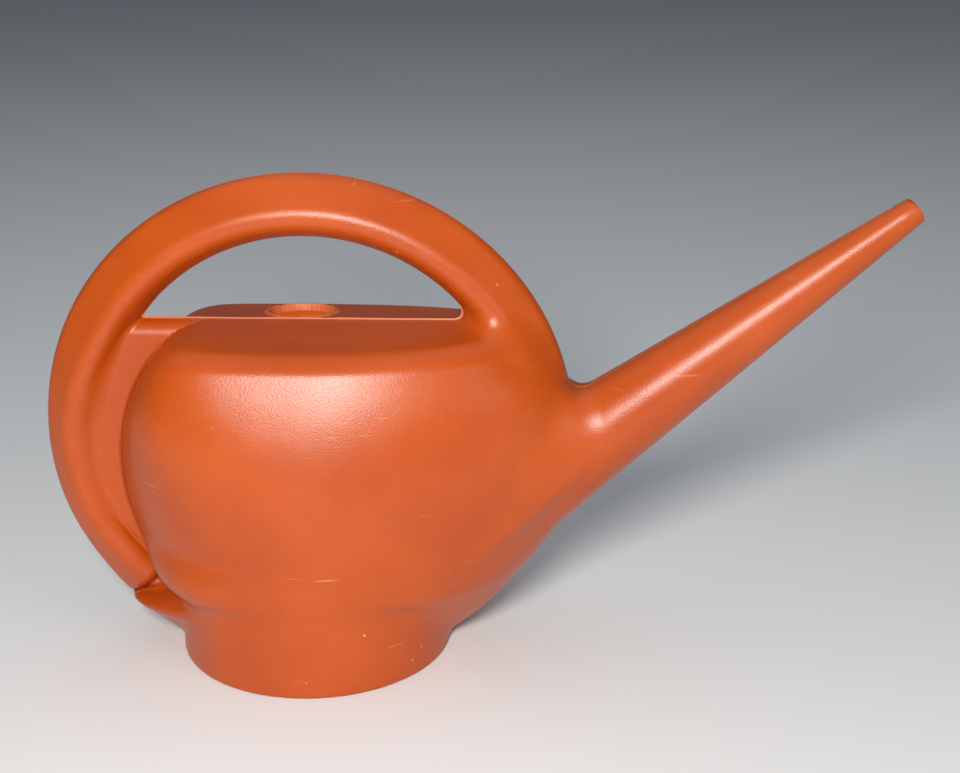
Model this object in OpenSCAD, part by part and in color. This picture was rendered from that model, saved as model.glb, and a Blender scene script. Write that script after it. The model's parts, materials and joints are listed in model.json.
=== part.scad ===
// Blow-moulded watering can with a ring-shaped hollow handle and a long tapered spout.
// Millimetres. Origin: centre of the foot, on the ground. +X points to the spout, +Z up, and the
// parting plane of the moulding is y = 0. The can is hollow throughout, with one wall thickness.

/* [Ring outline] */
// Outer radius of the circle that the handle, back and front follow in side view
ring_r = 145; // [135:1:155]
// Height of that circle's centre above the ground
ring_z = 124.6; // [122:0.2:127]
// Wall thickness of the moulding
wall = 2.2; // [1.6:0.1:3]

/* [Handle] */
// Radial thickness of the hand grip
grip_thick = 34.4; // [30:0.1:38]
// Radial thickness of the tube down the back
leg_thick = 24; // [20:1:28]
// Depth of the handle across the parting plane
grip_depth = 38; // [32:1:44]
// Thickness of the pinched web between the back tube and the tank
web_thick = 16; // [8:1:18]

/* [Tank] */
// Depth of the tank across the parting plane, where it is widest
tank_depth = 153; // [148:1:158]
// Height of the deck at the parting line
deck_z = 189.5; // [187:0.5:192]
// Fall of the deck from the parting line to each shoulder, in degrees
deck_slope = 6.4; // [5:0.1:8]
// Radius of the rounded shoulder between deck and side
shoulder_r = 12; // [8:1:14]
// Distance from the centre to the tank's back wall
back_x = 104; // [100:1:108]

/* [Foot] */
// Radius of the round foot
foot_r = 75.8; // [75:0.2:77]
// Radius of the foot's rounded bottom edge
foot_edge = 2; // [1.5:0.5:4]

/* [Spout] */
// Distance from the origin to the centre of the spout's mouth, along X
tip_x = 320.1; // [300:0.1:335]
// Height of the centre of the spout's mouth
tip_z = 250.7; // [245:0.1:255]
// Rise of the spout's axis above the horizontal, in degrees
spout_rise = 37.5; // [36:0.1:39]
// Outer radius of the spout's mouth
tip_r = 7.5; // [7:0.1:9]
// Half angle of the spout's taper, in degrees
spout_taper = 5; // [4.8:0.1:5.4]
// Length of the straight bore at the mouth
land = 8; // [6:1:12]

/* [Fill hole] */
// Radius of the fill hole
fill_r = 18.3; // [16:0.1:18.8]
// Distance of the fill hole's centre from the parting plane, measured level
fill_y = 22.1; // [21.7:0.1:24]
// Place of the fill hole along X, from the centre of the foot
fill_x = -5; // [-8:0.5:8]
// Height of the raised lip above the deck
lip_h = 1.6; // [1:0.1:3]

/* [Hidden] */

plastic = [0.82, 0.31, 0.16];
flash_tone = [0.88, 0.42, 0.26];
$fn = 96;

// Tank sections: points round each level, and levels up each stretch
section_points = 36;
flank_levels = 18;
shoulder_levels = 5;
section_power = 1.8;    // 2 would be an ellipse
front_square = 0.6;     // how much squarer the front half of the section is at the deck
back_square = 4.2;      // the same for the back half
square_from = 115;      // the section starts to turn squarer here
neck_z = 4;             // where the tank meets the foot at the parting line
widest_z = 85;          // the tank is deepest here
flank_bend = 20.5;      // how much each side has come in 90 mm above that
tuck_z = 50;            // the sides tuck in below this height
tuck = 0.85;            // how fast they tuck in
chin = 4.5;             // how far the front sits inside the ring circle low down
back_z = 105;           // height where the back wall stands furthest out
back_low = 104;         // how fast the back wall closes below that height
back_high = 107;        // the same above it
merge_low = 22;         // the back wall follows the ring circle below this height
merge_high = 42;
brow_z = 150;           // the front outline leaves the ring circle above this height
brow_cut = 16;          // how far it has come in at the deck
deck_half = 46;         // half width of the flat of the deck
ridge_half = 0.8;       // half width of the deck's top level
deck_edge_z = deck_z - deck_half * tan(deck_slope);
round_y = deck_half - shoulder_r * sin(deck_slope);
round_z = deck_edge_z - shoulder_r * cos(deck_slope);
flank_top = round_z + shoulder_r * sin(20);
foot_top = 58;          // the foot's wall runs up to here, and the tank covers the rest
foot_lean = 2;          // how much the foot narrows over that height

// Handle sections, in degrees round the ring from +X
opening_r = ring_r - grip_thick;
grip_from = -12;
grip_to = 150;
leg_to = 229;
slim_by = 186;          // the tube has its slim section from here down
tube_points = 20;
tube_step = 6;
leg_depth = 32;
nose = 5;               // degrees taken by the rounded end of the back tube
ridge_shift = 0.35;     // how far the thickest line of the tube lies towards the opening
flash_reach = 1.6;
flash_thick = 0.9;
corner_r = 6;

spout_len = 272;        // from the mouth back to a point inside the tank
spout_r = tip_r + spout_len * tan(spout_taper);
bore_r = tip_r - wall;

fill_z = deck_z - fill_y * tan(deck_slope);
web_top = deck_z - web_thick / 2 * tan(deck_slope) - 0.5;
web_low = 46;           // the web has closed up below this height
rim_r = fill_r + 2.6;

function ring_x(z) = sqrt(ring_r * ring_r - (z - ring_z) * (z - ring_z));

function smooth(s) = let (t = min(max(s, 0), 1)) t * t * (3 - 2 * t);

function front_x(z) =
    ring_x(z) - brow_cut * smooth((z - brow_z) / (deck_z - brow_z)) - chin * smooth((110 - z) / 50);

function back_arc(z) =
    let (s = (z - back_z) / (z < back_z ? back_low : back_high))
    back_x * sqrt(1 - s * s);

function rear_x(z) =
    let (s = smooth((z - merge_low) / (merge_high - merge_low)))
    ring_x(z) + (back_arc(z) - ring_x(z)) * s;

function flank_y(z) =
    let (off = (z - widest_z) / (flank_top - widest_z), under = max(tuck_z - z, 0))
    tank_depth / 2 - flank_bend * off * off - tuck * under * under / (under + 5);

function section_at(z, more) = section_power + more * smooth((z - square_from) / (deck_z - square_from));

function side_y(z) =
    z < flank_top ? flank_y(z)
    : z < deck_edge_z ? round_y + sqrt(shoulder_r * shoulder_r - (z - round_z) * (z - round_z))
    : ridge_half + (deck_half - ridge_half) * (deck_z - z) / (deck_z - deck_edge_z);

function signed_pow(v, p) = sign(v) * pow(abs(v), p);

// One level section of the tank, thinner by inset all round and widest over the foot's centre
function tank_section(z, inset) =
    let (front = front_x(z) - inset, back = rear_x(z) - inset,
         deep = max(side_y(z) - inset, ridge_half / 2),
         p_front = 2 / section_at(z, front_square), p_back = 2 / section_at(z, back_square))
    [for (i = [0 : section_points - 1])
        let (t = 360 * (i + 0.5) / section_points, p = cos(t) > 0 ? p_front : p_back)
        [(cos(t) > 0 ? front : back) * signed_pow(cos(t), p), deep * signed_pow(sin(t), p)]];

// Heights of the levels: even steps up the flank, then closer ones over the shoulder and deck
function tank_heights(low, high, fall) =
    let (flank = flank_top - fall, edge = deck_edge_z - fall)
    concat([for (i = [0 : flank_levels]) low + (flank - low) * i / flank_levels],
           [for (i = [1 : shoulder_levels]) flank + (edge - flank) * sin(90 * i / shoulder_levels)],
           [high]);

// A solid skinned over rings of points, each ring with the same number of points
module loft(rings) {
    n = len(rings[0]);
    m = len(rings);
    polyhedron(
        points = [for (ring = rings) each ring],
        faces = concat(
            [[for (j = [0 : n - 1]) j]],
            [for (i = [0 : m - 2], j = [0 : n - 1])
                let (a = i * n + j, b = i * n + (j + 1) % n)
                each [[a, b + n, b], [a, a + n, b + n]]],
            [[for (j = [n - 1 : -1 : 0]) (m - 1) * n + j]]));
}

// The tank as a solid; fall lowers the shoulder and deck, for the inside
module tank_solid(inset, low, fall) {
    loft([for (z = tank_heights(low, deck_z - fall, fall))
        let (level = z > flank_top - fall ? z + fall : z)
        [for (p = tank_section(level, inset)) [p[0], p[1], z]]]);
}

module tank_outside() {
    tank_solid(0, neck_z, 0);
}

module tank_inside() {
    tank_solid(wall, neck_z + 1, wall);
}

module foot_profile(inset) {
    turn = max(foot_edge - inset, 0.2);
    polygon(concat(
        [[0, inset]],
        [for (a = [-90 : 15 : 0]) [foot_r - inset - turn * (1 - cos(a)), inset + turn * (1 + sin(a))]],
        [[foot_r - foot_lean - inset, foot_top], [0, foot_top]]));
}

module foot_solid() {
    rotate_extrude() foot_profile(0);
}

// Places its children with +Z along the spout, measured back from the mouth
module on_spout() {
    translate([tip_x, 0, tip_z]) rotate([0, 90 - spout_rise, 0]) children();
}

module spout_outside() {
    on_spout() translate([0, 0, -spout_len]) cylinder(r1 = spout_r, r2 = tip_r, h = spout_len);
}

module spout_inside(back) {
    on_spout()
        translate([0, 0, -spout_len - back])
            cylinder(r1 = spout_r - wall + back * tan(spout_taper), r2 = bore_r + land * tan(spout_taper),
                     h = spout_len - land + back);
}

module fill_place() {
    translate([fill_x, fill_y, fill_z]) rotate([-deck_slope, 0, 0]) children();
}

function tube_inner(a) =
    ring_r - (a < grip_to ? grip_thick
              : a > slim_by ? leg_thick
              : grip_thick + (leg_thick - grip_thick) * (1 - cos(180 * (a - grip_to) / (slim_by - grip_to))) / 2);

function tube_depth(a) =
    a < grip_to ? grip_depth
    : a > slim_by ? leg_depth
    : grip_depth + (leg_depth - grip_depth) * (a - grip_to) / (slim_by - grip_to);

// One section of the handle tube at angle a, shrunk towards its middle by scale k
function tube_ring(a, inset, k = 1) =
    let (outer = ring_r - inset, inner = tube_inner(a) + inset,
         mid = (outer + inner) / 2, half = k * (outer - inner) / 2, deep = k * (tube_depth(a) / 2 - inset))
    [for (j = [0 : tube_points - 1])
        let (t = 360 * j / tube_points,
             r = mid + half * cos(t) - ridge_shift * half * sin(t) * sin(t),
             y = deep * signed_pow(sin(t), 0.9))
        [r * cos(a), y, ring_z + r * sin(a)]];

function tube_rings(from, to, inset) =
    let (steps = ceil((to - from) / tube_step))
    [for (i = [0 : steps]) tube_ring(from + (to - from) * i / steps, inset)];

// Rings that close the lower end of the back tube with a rounded nose
function nose_rings(from, reach) =
    [for (i = [1 : 3]) tube_ring(from + reach * sin(26 * i), 0, cos(26 * i))];

module tube_sweep(from, to, inset) {
    loft(tube_rings(from, to, inset));
}

// Side view of the finger opening: the ring's inner circle above the deck, with rounded corners
module opening_outline(grow) {
    low = deck_z - grow;
    r = opening_r + grow;
    c = corner_r + grow;
    corner_z = low + c;
    corner_x = sqrt((r - c) * (r - c) - (corner_z - ring_z) * (corner_z - ring_z));
    side = atan2(corner_z - ring_z, corner_x);
    polygon(concat(
        [for (i = [0 : 6]) let (t = -90 + (90 + side) * i / 6) [corner_x + c * cos(t), corner_z + c * sin(t)]],
        [for (i = [1 : 31]) let (t = side + (180 - 2 * side) * i / 32) [r * cos(t), ring_z + r * sin(t)]],
        [for (i = [0 : 6]) let (t = 180 - side + (90 + side) * i / 6) [-corner_x + c * cos(t), corner_z + c * sin(t)]]));
}

// Lays a side-view outline on the parting plane with the given thickness
module across(thick) {
    translate([0, thick / 2, 0]) rotate([90, 0, 0]) linear_extrude(thick) children();
}

module tank_half(side) {
    reach = 2 * ring_r;
    difference() {
        intersection() {
            tank_outside();
            translate([-reach, side > 0 ? 0 : -reach, 0]) cube([2 * reach, reach, reach]);
        }
        tank_inside();
        foot_solid();
        spout_inside(60);
        if (side > 0) fill_place() cylinder(r = rim_r, h = 20, center = true);
    }
}

// Half of the tank on the right hand when the spout points forward
module tank_right_half() {
    color(plastic) tank_half(-1);
}

// The other half, with the hole that the fill rim sits in
module tank_left_half() {
    color(plastic) tank_half(1);
}

// Round foot wall, with a rolled lower edge
module foot_skirt() {
    color(plastic) difference() {
        foot_solid();
        rotate_extrude() foot_profile(wall);
        translate([0, 0, -1]) cylinder(r = foot_r - foot_edge, h = wall + 1);
        tank_inside();
    }
}

// Flat bottom of the can, inside the rolled edge
module base_panel() {
    color(plastic) cylinder(r = foot_r - foot_edge, h = wall);
}

// Trimmed neck of the fill hole, standing slightly proud of the deck
module fill_rim() {
    color(flash_tone) fill_place() translate([0, 0, -wall - 1]) difference() {
        cylinder(r = rim_r, h = wall + 1 + lip_h);
        translate([0, 0, -1]) cylinder(r = fill_r, h = wall + 3 + lip_h);
    }
}

// Hollow conical spout from the tank to the mouth's land
module spout_tube() {
    color(plastic) difference() {
        on_spout() translate([0, 0, -spout_len])
            cylinder(r1 = spout_r, r2 = tip_r + land * tan(spout_taper), h = spout_len - land);
        spout_inside(1);
        tank_outside();
    }
}

// Cut end of the spout, with a straight bore
module spout_tip() {
    color(plastic) on_spout() translate([0, 0, -land]) difference() {
        cylinder(r1 = tip_r + land * tan(spout_taper), r2 = tip_r, h = land);
        translate([0, 0, -1]) cylinder(r = bore_r, h = land + 2);
    }
}

// Hollow hand grip over the finger opening, from the front of the tank to the top of the back
module handle_grip() {
    color(plastic) difference() {
        tube_sweep(grip_from, grip_to, 0);
        tube_sweep(grip_from + 1, grip_to + 1, wall);
        tank_outside();
        spout_outside();
    }
}

// Hollow tube down the back, closed by a rounded end low on the tank
module handle_back_tube() {
    color(plastic) difference() {
        loft(concat(tube_rings(grip_to, leg_to - nose, 0), nose_rings(leg_to - nose, nose)));
        tube_sweep(grip_to - 1, leg_to - nose, wall);
        tank_outside();
    }
}

// Pinched double wall that ties the back tube to the tank
module handle_web() {
    color(plastic) difference() {
        across(web_thick) difference() {
            translate([-ring_r, web_low]) square([ring_r - 40, web_top - web_low]);
            difference() {
                translate([-2 * ring_r, 0]) square([2 * ring_r, 2 * ring_r]);
                translate([0, ring_z]) circle(r = ring_r - leg_thick + 2);
            }
        }
        tube_sweep(grip_to - 10, leg_to - nose, 0);
        tank_outside();
    }
}

// Thin pinch-off fin left round the finger opening
module opening_flash() {
    color(flash_tone) across(flash_thick) difference() {
        opening_outline(0);
        opening_outline(-flash_reach);
    }
}

tank_right_half();
tank_left_half();
foot_skirt();
base_panel();
fill_rim();
spout_tube();
spout_tip();
handle_grip();
handle_back_tube();
handle_web();
opening_flash();
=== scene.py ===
"""Looks for the blow-moulded watering can.

The outer surface is one smooth field, meshed once and then divided into the regions that the CAD nodes
stand for. Each region becomes a closed shell with the moulding's own wall thickness.
Shape values are in millimetres, in the row frame; meshes are made in metres.
"""

import json
import math

import bpy
import numpy as np
from mathutils import Matrix, Vector


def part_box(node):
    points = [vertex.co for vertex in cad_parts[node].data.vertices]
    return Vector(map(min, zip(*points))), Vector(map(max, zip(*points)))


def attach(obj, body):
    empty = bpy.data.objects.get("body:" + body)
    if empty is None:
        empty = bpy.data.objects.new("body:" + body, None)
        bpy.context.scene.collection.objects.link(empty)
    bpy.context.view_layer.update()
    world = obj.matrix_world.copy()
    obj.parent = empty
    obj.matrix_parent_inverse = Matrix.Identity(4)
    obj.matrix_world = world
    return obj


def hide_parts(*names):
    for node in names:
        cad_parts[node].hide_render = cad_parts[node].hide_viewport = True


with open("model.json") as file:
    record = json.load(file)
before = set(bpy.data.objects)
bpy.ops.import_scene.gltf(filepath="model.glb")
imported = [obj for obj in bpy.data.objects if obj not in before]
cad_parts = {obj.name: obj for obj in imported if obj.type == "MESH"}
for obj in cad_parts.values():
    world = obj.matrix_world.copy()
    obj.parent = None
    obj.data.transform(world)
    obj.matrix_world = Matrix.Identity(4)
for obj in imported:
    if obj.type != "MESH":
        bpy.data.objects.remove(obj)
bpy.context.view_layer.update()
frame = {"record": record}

MM = 0.001
MOUNTS = {m["name"]: m for m in frame["record"]["mounts"]}

# Ring: the circle that the handle, back and front follow in side view
RING_R = 145.0
RING_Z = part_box("handle_grip")[1][2] / MM - RING_R
WALL = 2.2

# Tank: its flanks curve in from their widest level, and tuck in faster near the foot
TANK_HALF = 76.5
WIDEST_Z = 85.0
FLANK_REACH = 90.0
FLANK_BEND = 20.5
TUCK_Z = 50.0
TUCK = 0.85
SECTION_POWER = 1.8
SQUARE_Z = 85.0
DECK_Z = 189.5
DECK_SLOPE = math.radians(6.4)
SHOULDER_R = 8.0

# Front of the tank: how far it comes inside the ring at the deck (brow) and low down (chin)
BROW_Z = 150.0
BROW = 16.0
CHIN_Z = 70.0
CHIN = 5.0

# Back wall of the tank: an arc that joins the ring low down
BACK_X = 104.0
BACK_Z = 105.0
BACK_LOW = 104.0
BACK_HIGH = 107.0
BACK_JOINS_Z = 38.0

# Pinched web between the back tube and the tank
WEB_HALF = 8.0
WEB_OUT = 130.0
WEB_FRONT_X = -30.0
WEB_LOW_Z = 50.0

# Handle tube: a kite section, given by distances from the ring's centre and out from the parting plane
CREST = 149.3
RIDGE = 121.3
RIDGE_Y = 21.9
INNER = 109.3
LEG_FROM = 150.0
TUBE_END = 237.0

# Foot
FOOT_EDGE = 2.0
FOOT_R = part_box("foot_skirt")[1][0] / MM
FOOT_LEAN = 0.04
FOOT_TOP = 62.0

# Spout and fill hole
LAND = 8.0
MOUTH = np.array(MOUNTS["spout_mouth"]["pos_m"]) / MM
MOUTH_AXIS = np.array(MOUNTS["spout_mouth"]["axis"])
MOUTH_R = 7.5
BORE_R = MOUNTS["spout_mouth"]["dims"]["r_mm"]
SPOUT_TAPER = math.radians(5.0)
SPOUT_LENGTH = 290.0
FILL = np.array(MOUNTS["fill_hole"]["pos_m"]) / MM
FILL_AXIS = np.array(MOUNTS["fill_hole"]["axis"])
FILL_R = 18.3
HOLE_R = FILL_R + 2.0

# Grid spacing of the surface mesh, and the room left round the can
STEP = 1.7
MARGIN = 3.2


def smooth(s):
    t = np.clip(s, 0.0, 1.0)
    return t * t * (3.0 - 2.0 * t)


def both(a, b, r):
    """Intersection of two solids, its edge rounded to radius r."""
    return np.minimum(np.maximum(a, b), -r) + np.hypot(np.maximum(a + r, 0), np.maximum(b + r, 0))


def either(a, b, r):
    """Union of two solids, with a fillet of radius r between them."""
    return np.maximum(np.minimum(a, b), r) - np.hypot(np.maximum(r - a, 0), np.maximum(r - b, 0))


def ring_x(z):
    return np.sqrt(np.maximum(RING_R**2 - (z - RING_Z) ** 2, 100.0))


def front_x(z):
    brow = BROW * smooth((z - BROW_Z) / (DECK_Z - BROW_Z))
    return ring_x(z) - brow - CHIN * smooth((CHIN_Z - z) / 35.0)


def back_x(z):
    s = (z - BACK_Z) / np.where(z < BACK_Z, BACK_LOW, BACK_HIGH)
    wall = BACK_X * np.sqrt(np.maximum(1.0 - s * s, 0.05))
    return wall + (ring_x(z) - wall) * smooth((BACK_JOINS_Z - z) / 14.0)


def half_depth(z):
    off = (z - WIDEST_Z) / FLANK_REACH
    under = np.maximum(TUCK_Z - z, 0.0)
    return TANK_HALF - FLANK_BEND * off**2 - TUCK * under**2 / (under + 5.0)


def squareness(x, z):
    """Power of the level section: soft low down, squarer towards the deck, most of all at the back."""
    low = SECTION_POWER - 0.2 * smooth((110.0 - z) / 65.0)
    blunt = 0.65 * smooth((75.0 - z) / 25.0) * smooth((z - 14.0) / 34.0)
    top = np.clip((z - SQUARE_Z) / 105.0, 0.0, 1.0) ** 2.2
    return low + np.where(x > 0, 0.6 * top, blunt + 4.2 * top)


def flank_field(x, y, z):
    """The tank without its deck: an egg-shaped section at each level, widest over the foot's centre."""
    level = np.clip(z, -6.0, 191.0)
    ends, ends_up, ends_down = [
        np.where(x > 0, front_x(level + d), back_x(level + d)) for d in (0.0, 0.5, -0.5)
    ]
    deep = half_depth(level)
    n = squareness(x, level)
    along = (np.abs(x) / ends) ** n
    across = (np.abs(y) / deep) ** n
    total = np.maximum(along + across, 1e-4)
    lean = along * (ends_up - ends_down) / ends
    lean = lean + across * (half_depth(level + 0.5) - half_depth(level - 0.5)) / deep
    slope_x = along / np.maximum(np.abs(x), 0.01)
    slope_y = across / np.maximum(np.abs(y), 0.01)
    steep = total ** (1 / n - 1) * np.sqrt(slope_x**2 + slope_y**2 + lean**2)
    return (total ** (1 / n) - 1.0) / np.maximum(steep, 1e-4)


def deck_field(y, z):
    return (z - DECK_Z) * math.cos(DECK_SLOPE) + np.abs(y) * math.sin(DECK_SLOPE)


def web_field(x, y, z):
    """The pinched wall between the back tube and the tank."""
    rho = np.hypot(x, z - RING_Z)
    plate = both(both(np.abs(y) - WEB_HALF, rho - WEB_OUT, 1.0), x - WEB_FRONT_X, 1.0)
    return both(plate, WEB_LOW_Z - z, 4.0)


def body_field(x, y, z):
    """Tank and web under the deck, with a tight crease where the web meets the tank."""
    flank = flank_field(x, y, z)
    web = web_field(x, y, z)
    pinch = 2.2 * smooth((182.0 - z) / 30.0) * np.exp(-(((flank - web) / 1.3) ** 2))
    sides = np.minimum(flank, web) + np.where(x < -40.0, pinch, 0.0)
    return both(sides, deck_field(y, z), SHOULDER_R)


def ring_angle(x, z):
    a = np.degrees(np.arctan2(z - RING_Z, x))
    return np.where(a < -90.0, a + 360.0, a)


def join_radius(angle):
    """Fillet between the tube and what it meets: wide at the front and the lower end, tight elsewhere."""
    stops = [25.0, 45.0, 100.0, 150.0, 168.0, 200.0, 210.0, 221.0, 229.0, 238.0]
    radii = [13.0, 10.0, 3.0, 2.5, 8.0, 6.0, 2.0, 3.0, 12.0, 14.0]
    return np.interp(angle, stops, radii)


# The tube sinks by just enough for its fillet to keep the outline of tank and tube on the ring
fade_angle = np.linspace(-90.0, 269.0, 719)
fade_r = join_radius(fade_angle)
fade_x = RING_R * np.cos(np.radians(fade_angle))
fade_z = RING_Z + RING_R * np.sin(np.radians(fade_angle))
fade_gap = np.clip(body_field(fade_x, 0 * fade_x, fade_z), 0.0, fade_r)
fade_sink = fade_r - np.sqrt(fade_r**2 - (fade_r - fade_gap) ** 2)


def tube_field(x, y, z):
    """Handle and back tube: a kite section with a soft crest and two side ridges, bent round the ring.

    It gets slimmer down the back, reaches nearer the tank at its lower end, and fades out under the spout.
    """
    rho = np.hypot(x, z - RING_Z)
    angle = ring_angle(x, z)
    slim = smooth((angle - LEG_FROM) / 36.0)
    low = smooth((angle - 193.0) / 24.0)
    crest = CREST - low
    inner = INNER + 9.7 * slim - 7.5 * low
    ridge_rho = RIDGE + 7.0 * slim - 4.0 * low
    ridge_y = RIDGE_Y - 3.5 * slim
    side = np.abs(y)
    face = np.hypot(ridge_y, crest - ridge_rho)
    face_rho = ridge_y / face * (rho - crest)
    face_y = (crest - ridge_rho) / face * side
    belly = np.hypot(ridge_y, ridge_rho - inner)
    belly_rho = -ridge_y / belly * (rho - inner)
    belly_y = (ridge_rho - inner) / belly * side
    outer = both(face_rho + face_y, face_rho - face_y, 9.0)
    under = both(belly_rho + belly_y, belly_rho - belly_y, 6.0 - 2.0 * slim)
    section = both(outer, under, 11.0) + 14.0 * smooth((-8.0 - angle) / 20.0)
    section = section + np.interp(angle, fade_angle, fade_sink)
    past_end = np.radians(angle - TUBE_END) * rho
    return both(section, np.maximum(past_end, -60.0), 9.0)


def foot_field(x, y, z):
    wall = np.hypot(x, y) - (FOOT_R - FOOT_LEAN * z)
    return both(wall, z - FOOT_TOP, 3.0)


def along_spout(x, y, z):
    """Distance back from the mouth along the spout, and distance out from its axis."""
    dx = x - MOUTH[0]
    dz = z - MOUTH[2]
    back = -(dx * MOUTH_AXIS[0] + dz * MOUTH_AXIS[2])
    off = dz * MOUTH_AXIS[0] - dx * MOUTH_AXIS[2]
    return back, np.hypot(off, y)


def spout_field(x, y, z):
    back, out = along_spout(x, y, z)
    cone = (out - MOUTH_R - back * math.tan(SPOUT_TAPER)) * math.cos(SPOUT_TAPER)
    return np.maximum(np.maximum(cone, back - SPOUT_LENGTH), -3.0 - back)


def spout_fillet(x, y, z):
    """Fillet round the spout's root: widest at its sides, smaller on top, and small underneath."""
    off = (z - MOUTH[2]) * MOUTH_AXIS[0] - (x - MOUTH[0]) * MOUTH_AXIS[2]
    under = smooth((-off - 4.0) / 14.0)
    return (11.0 + 9.0 * smooth(np.abs(y) / 22.0)) * (1.0 - under) + 4.0 * under


def surface(x, y, z):
    """The whole outer surface, with the parting line's low bead: negative inside, positive outside."""
    body = body_field(x, y, z)
    tube = tube_field(x, y, z)
    angle = ring_angle(x, z)
    pinch = 1.8 * smooth((angle - 203.0) / 8.0) * smooth((227.0 - angle) / 4.0)
    f = either(body, tube, join_radius(angle)) + pinch * np.exp(-(((body - tube) / 1.2) ** 2))
    f = either(f, foot_field(x, y, z), 4.0)
    f = either(f, spout_field(x, y, z), spout_fillet(x, y, z))
    f = both(f, -z, FOOT_EDGE)
    return f - 0.22 * np.exp(-((y / 0.6) ** 2)) * smooth(z / 4.0)


def levels(low, high, fine_from, fine_to, fine):
    """Even levels, closer together over one stretch."""
    return np.concatenate(
        [
            np.arange(low, fine_from, STEP),
            np.arange(fine_from, fine_to, fine),
            np.arange(fine_to, high + STEP, STEP),
        ]
    )


def cross_levels():
    """Levels across the can, closer together near the parting plane, ending half a step beyond it."""
    near = [-0.4, -1.2, -2.2, -3.4]
    rest = np.arange(-3.4 - STEP, -TANK_HALF - 6.0, -STEP)
    return np.concatenate([rest[::-1], near[::-1], [0.4]])


def mesh_field(xs, ys, zs):
    """Surface nets: one vertex in each cell that the surface crosses, one quad for each crossed edge."""
    f = surface(xs[:, None, None], ys[None, :, None], zs[None, None, :])
    inside = f < 0
    cells = np.array(f.shape) - 1
    axes = (xs, ys, zs)
    total = np.zeros((cells.prod(), 3))
    count = np.zeros(cells.prod())
    crossings = []
    for axis in range(3):
        near = np.take(inside, range(f.shape[axis] - 1), axis)
        far = np.take(inside, range(1, f.shape[axis]), axis)
        at = np.argwhere(near != far)
        step = np.eye(3, dtype=int)[axis]
        f0 = f[tuple(at.T)]
        f1 = f[tuple((at + step).T)]
        point = np.stack([axes[d][at[:, d]] for d in range(3)], 1)
        gap = axes[axis][at[:, axis] + 1] - axes[axis][at[:, axis]]
        point[:, axis] += gap * f0 / (f0 - f1)
        u, v = [d for d in range(3) if d != axis]
        ids = []
        ok = np.ones(len(at), bool)
        for du, dv in ((1, 1), (0, 1), (0, 0), (1, 0)):
            cell = at.copy()
            cell[:, u] -= du
            cell[:, v] -= dv
            good = ((cell >= 0) & (cell < cells)).all(1)
            ok &= good
            flat = np.ravel_multi_index(np.clip(cell, 0, cells - 1).T, cells)
            ids.append(flat)
            for d in range(3):
                total[:, d] += np.bincount(flat[good], point[good, d], len(total))
            count += np.bincount(flat[good], minlength=len(total))
        quads = np.stack(ids, 1)[ok]
        flip = inside[tuple(at[ok].T)] ^ (axis == 1)
        quads[~flip] = quads[~flip][:, ::-1]
        crossings.append(quads)
    quads = np.concatenate(crossings)
    used, quads = np.unique(quads, return_inverse=True)
    points = total[used] / count[used][:, None]
    middle = np.unravel_index(used, cells)[1] == cells[1] - 1
    points[middle, 1] = 0.0
    return points, quads.reshape(-1, 4), middle


def slope(p):
    """The field's gradient at points p."""
    e = 0.05
    g = np.zeros_like(p)
    for d in range(3):
        shift = np.eye(3)[d] * e
        g[:, d] = (surface(*(p + shift).T) - surface(*(p - shift).T)) / (2 * e)
    return g


def settle(p, middle):
    """Moves points onto the surface, keeping those of the parting plane in it."""
    for _ in range(4):
        g = slope(p)
        g[middle, 1] = 0.0
        length = np.maximum((g * g).sum(1), 0.05)
        p = p - np.clip(surface(*p.T) / length, -0.8, 0.8)[:, None] * g
    return p


def unit(v):
    return v / np.maximum(np.linalg.norm(v, axis=-1, keepdims=True), 1e-9)


points, quads, middle = mesh_field(
    levels(-RING_R - MARGIN, MOUTH[0] + 8.0, -116.0, -60.0, 1.05),
    cross_levels(),
    levels(-MARGIN, RING_Z + RING_R + MARGIN, 24.0, 190.0, 1.35),
)
points = settle(points, middle)
normals = unit(slope(points))
normals[middle, 1] = 0.0
normals = unit(normals)

# The other half mirrors this one and shares the points of the parting plane
mirror_id = np.arange(len(points)) + len(points)
mirror_id[middle] = np.arange(len(points))[middle]
flipped = np.array([1.0, -1.0, 1.0])
points = np.concatenate([points, points * flipped])
normals = np.concatenate([normals, normals * flipped])
quads = np.concatenate([quads, mirror_id[quads][:, ::-1]])


def on_fill(p):
    """Position over the fill hole: across, up the deck, and above the deck."""
    d = p - FILL
    up_deck = np.cross(FILL_AXIS, [1.0, 0.0, 0.0])
    return d[..., 0], d @ up_deck, d @ FILL_AXIS


def from_fill(a, b, c):
    up_deck = np.cross(FILL_AXIS, [1.0, 0.0, 0.0])
    x = np.array([1.0, 0.0, 0.0])
    return FILL + a[..., None] * x + b[..., None] * up_deck + c[..., None] * FILL_AXIS


def borders(faces):
    """Directed edges that only one face uses."""
    edge = np.concatenate([faces[:, [i, (i + 1) % 4]] for i in range(4)])
    key = edge.min(1) * len(points) + edge.max(1)
    _, first, counts = np.unique(key, return_index=True, return_counts=True)
    return edge[first[counts == 1]]


# The fill hole is cut through the far half of the deck, and the cut edge is moved onto its circle
DECK_BAND = 6.0
centre = points[quads].mean(1)
across, up, high = on_fill(centre)
hole = (np.hypot(across, up) < HOLE_R) & (np.abs(high) < DECK_BAND)
quads = quads[~hole]
edge_points = np.unique(borders(quads))
across, up, high = on_fill(points[edge_points])
away = np.hypot(across, up)
near_hole = (away < HOLE_R + 4.0) & (np.abs(high) < DECK_BAND)
edge_points = edge_points[near_hole]
scale = HOLE_R / away[near_hole]
points[edge_points] = from_fill(across[near_hole] * scale, up[near_hole] * scale, high[near_hole])

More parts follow.
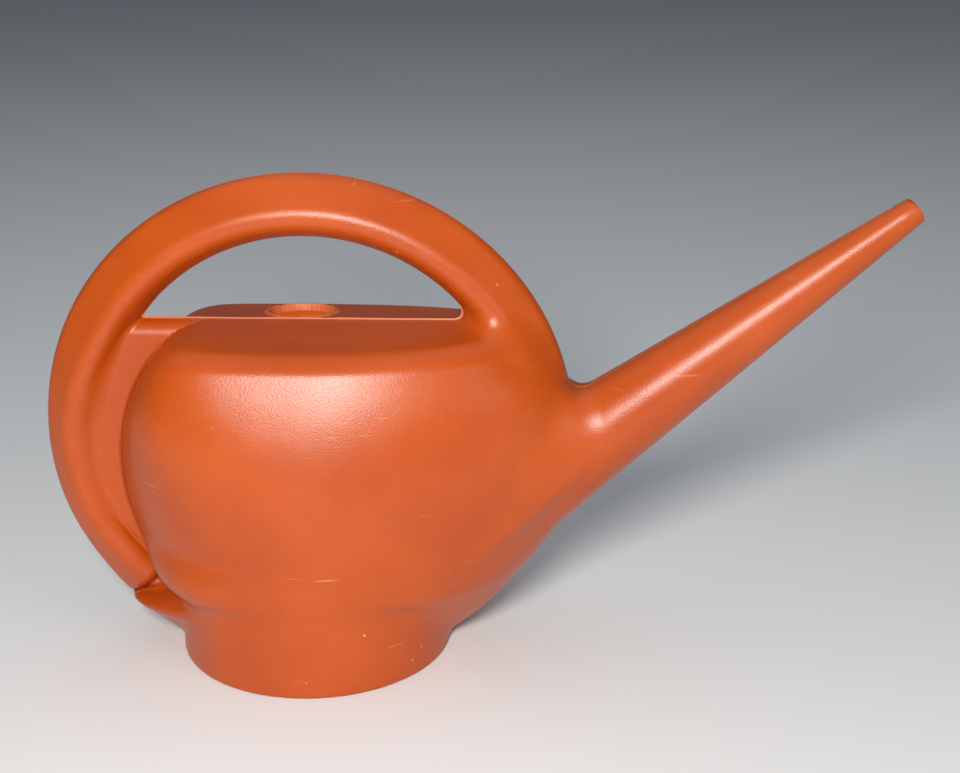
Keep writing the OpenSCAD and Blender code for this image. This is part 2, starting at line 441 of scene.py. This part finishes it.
# The spout ends at the land, where its cut tip is a piece of its own
centre = points[quads].mean(1)
back, out = along_spout(*centre.T)
quads = quads[(back > LAND) | (out > 60.0) | (centre[:, 0] < 200.0)]
edge_points = np.unique(borders(quads))
back, out = along_spout(*points[edge_points].T)
near_land = (np.abs(back - LAND) < 6.0) & (out < 40.0)
edge_points = edge_points[near_land]
shift = back[near_land] - LAND
land_r = MOUTH_R + LAND * math.tan(SPOUT_TAPER)
foot_of = MOUTH - LAND * MOUTH_AXIS
moved = points[edge_points] + shift[:, None] * MOUTH_AXIS - foot_of
points[edge_points] = foot_of + unit(moved) * land_r

# Each face belongs to the region whose solid it lies on
centre = points[quads].mean(1)
cx, cy, cz = centre.T
fields = np.stack(
    [
        flank_field(cx, cy, cz),
        foot_field(cx, cy, cz),
        spout_field(cx, cy, cz),
        tube_field(cx, cy, cz),
        web_field(cx, cy, cz),
    ]
)
nearest = fields.argmin(0)
angle = ring_angle(cx, cz)
region = np.where(cy < 0, "tank_right_half", "tank_left_half").astype("U20")
region[nearest == 1] = "foot_skirt"
region[nearest == 2] = "spout_tube"
region[nearest == 3] = "handle_grip"
region[(nearest == 3) & (angle > LEG_FROM)] = "handle_back_tube"
region[(nearest == 4) & (cz > 40.0)] = "handle_web"
region[(cz < 1.0) & (np.hypot(cx, cy) < FOOT_R - FOOT_EDGE)] = "base_panel"


def crease_depth(p):
    """Painted shade for the dark crease between the tank and the web or back tube: one in the crease,
    falling to zero beside it.
    """
    x, y, z = p.T
    flank = flank_field(x, y, z)
    other = np.minimum(web_field(x, y, z), tube_field(x, y, z))
    angle = ring_angle(x, z)
    along = smooth((178.0 - z) / 45.0) * smooth((227.0 - angle) / 5.0) * (x < -50.0)
    return along * np.exp(-(((flank - other) / 1.5) ** 2))


def shell(faces, thick):
    """Closed shell behind some faces: outside, inside, and the walls between them along the border."""
    used, local = np.unique(faces, return_inverse=True)
    local = local.reshape(faces.shape)
    n = len(used)
    outer = points[used]
    inner = outer - thick * normals[used]
    rim = borders(faces)
    rim = np.searchsorted(used, rim)
    wall = np.stack([rim[:, 1], rim[:, 0], rim[:, 0] + n, rim[:, 1] + n], 1)
    verts = np.concatenate([outer, inner])
    every = np.concatenate([local, local[:, ::-1] + n, wall])
    return verts, every, np.concatenate([normals[used], -normals[used]])


def add_mesh(name, verts, faces, norms=None):
    mesh = bpy.data.meshes.new(name)
    mesh.from_pydata((verts * MM).tolist(), [], faces if isinstance(faces, list) else faces.tolist())
    mesh.validate()
    mesh.shade_smooth()
    if norms is not None:
        mesh.normals_split_custom_set_from_vertices(norms.tolist())
    else:
        mesh.set_sharp_from_angle(angle=math.radians(40.0))
    piece = bpy.data.objects.new(name, mesh)
    bpy.context.scene.collection.objects.link(piece)
    return piece


# ---- Materials -----------------------------------------------------------------------------------


def node_maker(tree):
    def make(kind, inputs=None, **settings):
        n = tree.nodes.new(kind)
        for key, value in settings.items():
            setattr(n, key, value)
        for key, value in (inputs or {}).items():
            if isinstance(value, bpy.types.NodeSocket):
                tree.links.new(value, n.inputs[key])
            else:
                n.inputs[key].default_value = value
        return n

    return make


def ramp(make, factor, stops):
    n = make("ShaderNodeValToRGB", {"Fac": factor})
    first, second = n.color_ramp.elements[0], n.color_ramp.elements[1]
    first.position, second.position = stops[0][0], stops[1][0]
    first.color, second.color = (*stops[0][1], 1.0), (*stops[1][1], 1.0)
    return n.outputs["Color"]


def mix(make, factor, a, b, blend="MIX"):
    n = make("ShaderNodeMix", data_type="RGBA", blend_type=blend)
    for socket, value in ((n.inputs[0], factor), (n.inputs[6], a), (n.inputs[7], b)):
        if isinstance(value, bpy.types.NodeSocket):
            n.id_data.links.new(value, socket)
        elif isinstance(value, tuple):
            socket.default_value = (*value, 1.0)
        else:
            socket.default_value = value
    return n.outputs[2]


def math_node(make, operation, a, b=0.0):
    n = make("ShaderNodeMath", operation=operation)
    for socket, value in ((n.inputs[0], a), (n.inputs[1], b)):
        if isinstance(value, bpy.types.NodeSocket):
            n.id_data.links.new(value, socket)
        else:
            socket.default_value = value
    return n.outputs[0]


def plastic(name, deep, bright, pale, roughness, line, shine):
    """Moulded orange plastic: pebbled grain, cloudy tone, rubbed patches, hairline scratches and specks,
    with painted shade in the crease and a painted glow on the inside.

    line is how much paler the parting line is, and shine how strong the painted glow is on the inside past
    the fill hole.
    """
    material = bpy.data.materials.new(name)
    material.use_nodes = True
    tree = material.node_tree
    tree.nodes.clear()
    make = node_maker(tree)
    place = make("ShaderNodeTexCoord").outputs["Object"]

    cloud = make("ShaderNodeTexNoise", {"Vector": place, "Scale": 14.0, "Detail": 4.0}).outputs["Fac"]
    colour = mix(make, ramp(make, cloud, [(0.35, (0, 0, 0)), (0.65, (1, 1, 1))]), deep, bright)

    grain = make("ShaderNodeTexNoise", {"Vector": place, "Scale": 1400.0, "Detail": 2.0}).outputs["Fac"]
    colour = mix(make, ramp(make, grain, [(0.55, (0, 0, 0)), (0.85, (0.10, 0.10, 0.10))]), colour, pale)

    stretch = make(
        "ShaderNodeMapping", {"Vector": place, "Rotation": (0.3, 0.9, 0.2), "Scale": (28.0, 28.0, 420.0)}
    ).outputs["Vector"]
    hair = make("ShaderNodeTexNoise", {"Vector": stretch, "Scale": 1.0, "Detail": 1.0}).outputs["Fac"]
    patch = make("ShaderNodeTexNoise", {"Vector": place, "Scale": 22.0, "Detail": 2.0}).outputs["Fac"]
    rubbed = ramp(make, patch, [(0.55, (0, 0, 0)), (0.72, (1, 1, 1))])
    hairs = ramp(make, hair, [(0.70, (0, 0, 0)), (0.74, (1, 1, 1))])
    scratch = math_node(make, "MULTIPLY", hairs, rubbed)
    colour = mix(make, math_node(make, "MULTIPLY", scratch, 0.35), colour, pale)

    fleck = make("ShaderNodeTexVoronoi", {"Vector": place, "Scale": 70.0, "Randomness": 1.0})
    uneven = make("ShaderNodeTexNoise", {"Vector": place, "Scale": 600.0, "Detail": 2.0}).outputs["Fac"]
    away = math_node(make, "MULTIPLY", fleck.outputs["Distance"], math_node(make, "ADD", uneven, 0.5))
    dot = ramp(make, away, [(0.04, (1, 1, 1)), (0.07, (0, 0, 0))])
    apart = make("ShaderNodeSeparateXYZ", {"Vector": place}).outputs
    low_down = make("ShaderNodeMapRange", {"Value": apart["Z"], "From Min": 0.11, "From Max": 0.03})
    where = make("ShaderNodeTexNoise", {"Vector": place, "Scale": 12.0, "Detail": 3.0}).outputs["Fac"]
    where = math_node(make, "ADD", where, math_node(make, "MULTIPLY", low_down.outputs["Result"], 0.12))
    where = ramp(make, where, [(0.56, (0, 0, 0)), (0.62, (1, 1, 1))])
    colour = mix(make, math_node(make, "MULTIPLY", dot, where), colour, (0.55, 0.36, 0.16))

    # Painted shade: the crease between the tank and the web or back tube is darkened in colour
    crease = make("ShaderNodeAttribute", attribute_name="crease").outputs["Fac"]
    colour = mix(make, crease, colour, (0.16, 0.010, 0.002))

    near_line = math_node(make, "ABSOLUTE", apart["Y"])
    near_line = math_node(make, "LESS_THAN", near_line, 0.0005)
    near_line = math_node(make, "MULTIPLY", near_line, line)
    colour = mix(make, near_line, colour, pale)

    pebble = make("ShaderNodeTexVoronoi", {"Vector": place, "Scale": 1050.0}).outputs["Distance"]
    fine = make("ShaderNodeTexNoise", {"Vector": place, "Scale": 1500.0, "Detail": 2.0}).outputs["Fac"]
    height = math_node(make, "ADD", math_node(make, "MULTIPLY", pebble, 0.5), fine)
    height = math_node(make, "SUBTRACT", height, math_node(make, "MULTIPLY", scratch, 0.6))
    bump = make("ShaderNodeBump", {"Height": height, "Strength": 0.35, "Distance": 0.00022})
    swell = make("ShaderNodeTexNoise", {"Vector": place, "Scale": 30.0, "Detail": 2.0}).outputs["Fac"]
    wave = make(
        "ShaderNodeBump",
        {"Height": swell, "Strength": 0.25, "Distance": 0.0012, "Normal": bump.outputs["Normal"]},
    )

    # Painted light: the inside of the far wall, beyond the fill hole, glows by emission in place of
    # daylight that comes through the thin wall
    normal = make("ShaderNodeNewGeometry").outputs["Normal"]
    facing = make("ShaderNodeSeparateXYZ", {"Vector": normal}).outputs
    inside = math_node(make, "LESS_THAN", facing["Y"], -0.2)
    far_side = math_node(make, "GREATER_THAN", apart["Y"], 0.030)
    glow = math_node(make, "MULTIPLY", math_node(make, "MULTIPLY", inside, far_side), shine)

    rough = make(
        "ShaderNodeMapRange", {"Value": cloud, "To Min": roughness - 0.05, "To Max": roughness + 0.07}
    )
    shader = make(
        "ShaderNodeBsdfPrincipled",
        {
            "Base Color": colour,
            "Roughness": rough.outputs["Result"],
            "Normal": wave.outputs["Normal"],
            "IOR": 1.5,
            "Specular IOR Level": 0.5,
            "Emission Color": (0.75, 0.13, 0.012, 1.0),
            "Emission Strength": glow,
        },
    )
    make("ShaderNodeOutputMaterial", {"Surface": shader.outputs["BSDF"]})
    return material


moulded = plastic(
    "moulded_plastic", (0.44, 0.060, 0.002), (0.51, 0.078, 0.004), (0.80, 0.38, 0.20), 0.33, 0.5, 0.6
)
trimmed = plastic(
    "trimmed_edge", (0.55, 0.105, 0.022), (0.66, 0.20, 0.09), (0.85, 0.55, 0.40), 0.5, 0.0, 0.12
)


def finish_piece(piece, nodes, material):
    piece.data.materials.append(material)
    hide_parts(*nodes)
    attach(piece, "root")


# ---- The moulding --------------------------------------------------------------------------------

for node in np.unique(region):
    verts, faces, norms = shell(quads[region == node], WALL)
    piece = add_mesh(f"can_{node}", verts, faces, norms)
    # Each shell carries the painted shade of the crease as its crease attribute
    shade = piece.data.attributes.new("crease", "FLOAT", "POINT")
    shade.data.foreach_set("value", crease_depth(verts))
    finish_piece(piece, [str(node)], moulded)


def lathe(ring_points):
    """Faces of a closed ring of sections: ring_points is (round, section, 3)."""
    m, n = ring_points.shape[:2]
    ids = np.arange(m * n).reshape(m, n)
    there = np.roll(ids, -1, 0)
    faces = np.stack([ids, np.roll(ids, -1, 1), np.roll(there, -1, 1), there], -1)
    return ring_points.reshape(-1, 3), faces.reshape(-1, 4)


def ragged(t, *waves):
    """A repeatable uneven line round a circle, between about -1 and 1."""
    total = sum(math.cos(k) * np.sin(k * t + 1.7 * k * k) for k in waves)
    return total / len(waves) ** 0.5


# ---- Trimmed neck of the fill hole ---------------------------------------------------------------

turn = np.linspace(0.0, 2 * math.pi, 180, endpoint=False)[:, None]
burr = 0.25 * ragged(turn, 5, 9, 16, 27, 41) + 0.3 * np.exp(-(((turn - 2.7) / 0.25) ** 2))
radius = FILL_R + np.array([[0.0, 0.0, 0.3, 1.1, 2.0, 3.0, HOLE_R - FILL_R, HOLE_R - FILL_R - 0.3]])
height = np.array([[-3.2, 0.4, 0.9, 0.95, 0.45, -0.15, -1.4, -3.2]])
lip = np.array([[0.0, 0.6, 1.0, 0.8, 0.4, 0.0, 0.0, 0.0]])
inward = np.array([[0.0, 0.8, 0.6, 0.3, 0.0, 0.0, 0.0, 0.0]])
rim_radius = radius - inward * burr
rim_height = height + lip * burr
rim_points = from_fill(rim_radius * np.cos(turn), rim_radius * np.sin(turn), rim_height)
verts, faces = lathe(rim_points)
fill_rim = add_mesh("fill_rim_neck", verts, faces[:, ::-1])
finish_piece(fill_rim, ["fill_rim"], trimmed)

# ---- Cut tip of the spout ------------------------------------------------------------------------

# The cut edge bows forward at both sides
TIP_BULGE = 2.7
turn = np.linspace(0.0, 2 * math.pi, 96, endpoint=False)[:, None]
land_back = np.array([[LAND, 0.35, 0.05, 0.0, 0.0, 0.3, LAND]])
land_out = np.array(
    [[land_r, MOUTH_R + 0.03, MOUTH_R - 0.12, MOUTH_R - 0.45, BORE_R + 0.4, BORE_R, BORE_R]]
)
uneven = 0.12 * ragged(turn, 3, 7, 12)
bulge = TIP_BULGE * np.cos(turn) ** 2
tip_back = land_back + (uneven - bulge) * np.array([[0, 1, 1, 1, 1, 1, 0]])
side = np.array([0.0, 1.0, 0.0])
over = np.cross(MOUTH_AXIS, side)
tip_points = (
    MOUTH
    - tip_back[..., None] * MOUTH_AXIS
    + (land_out * np.cos(turn))[..., None] * side
    + (land_out * np.sin(turn))[..., None] * over
)
verts, faces = lathe(tip_points)
spout_tip = add_mesh("spout_tip_cut", verts, faces)
finish_piece(spout_tip, ["spout_tip"], moulded)

# ---- Pinch-off fin round the finger opening ------------------------------------------------------

OPENING_Z = 212.0


def opening_edge(turn):
    """Where rays from inside the finger opening meet the surface in the parting plane, by bisection."""
    ray = np.stack([np.cos(turn), 0 * turn, np.sin(turn)], 1)
    start = np.array([0.0, 0.0, OPENING_Z])
    near = np.full(len(turn), 2.0)
    far = np.full(len(turn), 130.0)
    for _ in range(26):
        mid = (near + far) / 2
        reached = np.zeros(len(turn), bool)
        for share in (0.25, 0.5, 0.75, 1.0):
            spot = start + (near + (mid - near) * share)[:, None] * ray
            reached |= surface(*spot.T) < 0
        far = np.where(reached, mid, far)
        near = np.where(reached, near, mid)
    return start + near[:, None] * ray


turn = np.linspace(0.0, 2 * math.pi, 420, endpoint=False)
edge = opening_edge(turn)
edge_slope = unit(slope(edge) * np.array([1.0, 0.0, 1.0]))
corner = np.exp(-((edge[:, 2] - DECK_Z - 3.0) / 5.0) ** 2)
reach = 0.25 + 0.05 * ragged(turn, 5, 9, 14) + corner * (0.5 + 0.2 * ragged(turn, 9, 17))
thin = 0.2 + 0.04 * ragged(turn, 6, 11)
fin = np.stack(
    [
        edge - 0.5 * edge_slope - side * (thin + 0.25)[:, None],
        edge + edge_slope * (0.35 * reach)[:, None] - side * thin[:, None],
        edge + edge_slope * reach[:, None] - side * (0.6 * thin)[:, None],
        edge + edge_slope * reach[:, None] + side * (0.6 * thin)[:, None],
        edge + edge_slope * (0.35 * reach)[:, None] + side * thin[:, None],
        edge - 0.5 * edge_slope + side * (thin + 0.25)[:, None],
    ],
    1,
)
verts, faces = lathe(fin)
flash = add_mesh("opening_flash_fin", verts, faces)
finish_piece(flash, ["opening_flash"], trimmed)

# ---- Floor, light and camera ---------------------------------------------------------------------

floor_mesh = bpy.data.meshes.new("floor")
floor_mesh.from_pydata([(-9, -4, 0), (9, -4, 0), (9, 14, 0), (-9, 14, 0)], [], [(0, 1, 2, 3)])
floor = bpy.data.objects.new("floor", floor_mesh)
bpy.context.scene.collection.objects.link(floor)
floor_material = bpy.data.materials.new("floor")
floor_material.use_nodes = True
floor_shader = floor_material.node_tree.nodes["Principled BSDF"]
floor_shader.inputs["Base Color"].default_value = (0.84, 0.86, 0.87, 1.0)
floor_shader.inputs["Roughness"].default_value = 0.9
floor_mesh.materials.append(floor_material)

world = bpy.data.worlds.new("studio")
world.use_nodes = True
world.node_tree.nodes["Background"].inputs["Color"].default_value = (0.80, 0.86, 1.0, 1.0)
world.node_tree.nodes["Background"].inputs["Strength"].default_value = 0.11
bpy.context.scene.world = world


def area_light(name, place, aim, size, power, colour):
    data = bpy.data.lights.new(name, "AREA")
    data.shape = "DISK"
    data.size = size
    data.energy = power
    data.color = colour
    lamp = bpy.data.objects.new(name, data)
    lamp.location = place
    lamp.rotation_euler = (Vector(aim) - Vector(place)).to_track_quat("-Z", "Y").to_euler()
    bpy.context.scene.collection.objects.link(lamp)


can_middle = (0.05, 0.0, 0.13)
area_light("key", (-0.02, -1.10, 0.73), can_middle, 0.32, 16.5, (1.0, 0.97, 0.92))
area_light("side", (0.95, -0.85, 0.55), can_middle, 0.5, 1.5, (1.0, 0.97, 0.93))
area_light("sky", (0.0, 0.3, 1.7), can_middle, 2.4, 7.0, (0.90, 0.95, 1.0))

CAMERA_SIDE = 0.0935
CAMERA_BACK = 0.8741
CAMERA_HIGH = 0.4642
LOOK_DOWN = math.radians(19.745)
CAN_TURN = math.radians(-1.956)
CAMERA_ROLL = math.radians(-0.206)
SENSOR_MM = 36.0
LENS_MM = 63.75
camera_data = bpy.data.cameras.new("camera")
camera_data.sensor_width = SENSOR_MM
camera_data.lens = LENS_MM
camera_data.clip_end = 100.0
camera = bpy.data.objects.new("camera", camera_data)
turned = Matrix.Rotation(-CAN_TURN, 4, "Z")
tilted = Matrix.Rotation(math.pi / 2 - LOOK_DOWN, 4, "X") @ Matrix.Rotation(CAMERA_ROLL, 4, "Z")
camera.matrix_world = turned @ Matrix.Translation((CAMERA_SIDE, -CAMERA_BACK, CAMERA_HIGH)) @ tilted
bpy.context.scene.collection.objects.link(camera)
bpy.context.scene.camera = camera

bpy.context.scene.view_settings.view_transform = "Standard"
